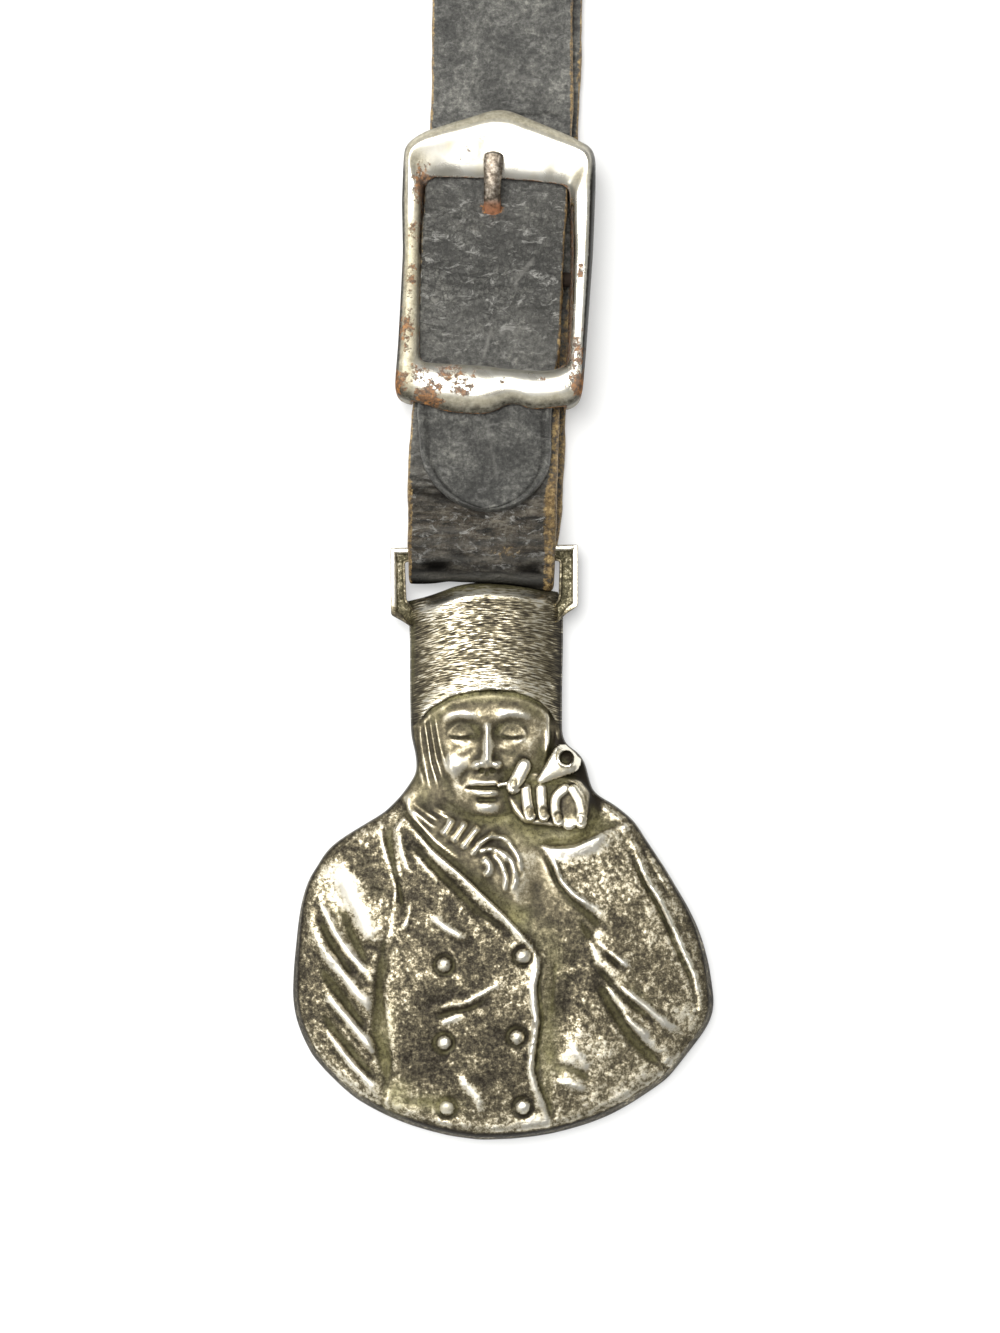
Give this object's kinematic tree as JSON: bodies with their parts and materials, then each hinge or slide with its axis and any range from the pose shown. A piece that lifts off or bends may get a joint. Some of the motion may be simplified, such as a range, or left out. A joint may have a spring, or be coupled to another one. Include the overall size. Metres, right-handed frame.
{
  "type": "pocket watch fob",
  "caption": "Leather watch fob: a folded strap closed by a peaked buckle, with a watch bow loop at the top and a struck metal bust medallion hanging below.",
  "frame": {"origin": "middle of the base of the whole fob as it lies on its back", "axes": "+X to the right of the bust, +Y up along the strap towards the watch bow loop, +Z out of the face"},
  "size_m": [0.0369, 0.1616, 0.0074],
  "materials": {
    "leather": "dark grey dyed cowhide, fine crackle, edges worn to tan",
    "thread": "waxed linen thread",
    "nickel_plate": "nickel-plated stamped steel, worn, with brown rust spots",
    "steel_wire": "nickel-plated steel wire, rusty where it leaves the leather",
    "aged_silver_plate": "silver-plated brass, dark patina in its recesses, worn bright on its high points"
  },
  "bodies": {
    "strap": {"strap_lower_loop": "leather", "strap_tongue": "leather", "chape_stitching": "thread"},
    "upper_strap": {"strap_upper_loop": "leather"},
    "buckle": {"buckle_frame": "nickel_plate", "buckle_centre_bar": "steel_wire"},
    "prong": {"buckle_prong": "steel_wire"},
    "medallion": {"medallion": "aged_silver_plate"}
  },
  "joints": [
    {"name": "medallion_swing", "type": "hinge", "parent": "strap", "child": "medallion", "pos_m": [-0.00171, -0.02923, 0.00235], "axis": [1, 0, 0], "range_deg": [-90, 85]},
    {"name": "buckle_tilt", "type": "hinge", "parent": "strap", "child": "buckle", "pos_m": [-0.00069, -0.00485, 0.00285], "axis": [0.9991, -0.0419, 0], "range_deg": [-1, 1]},
    {"name": "prong_lift", "type": "hinge", "parent": "buckle", "child": "prong", "pos_m": [-0.00069, -0.00485, 0.00285], "axis": [0.9991, -0.0419, 0], "range_deg": [0, 4.5]},
    {"name": "strap_bend", "type": "hinge", "parent": "strap", "child": "upper_strap", "pos_m": [0.00011, 0.01424, 0.00125], "axis": [0.9991, -0.0419, 0], "range_deg": [-45, 45]}
  ]
}
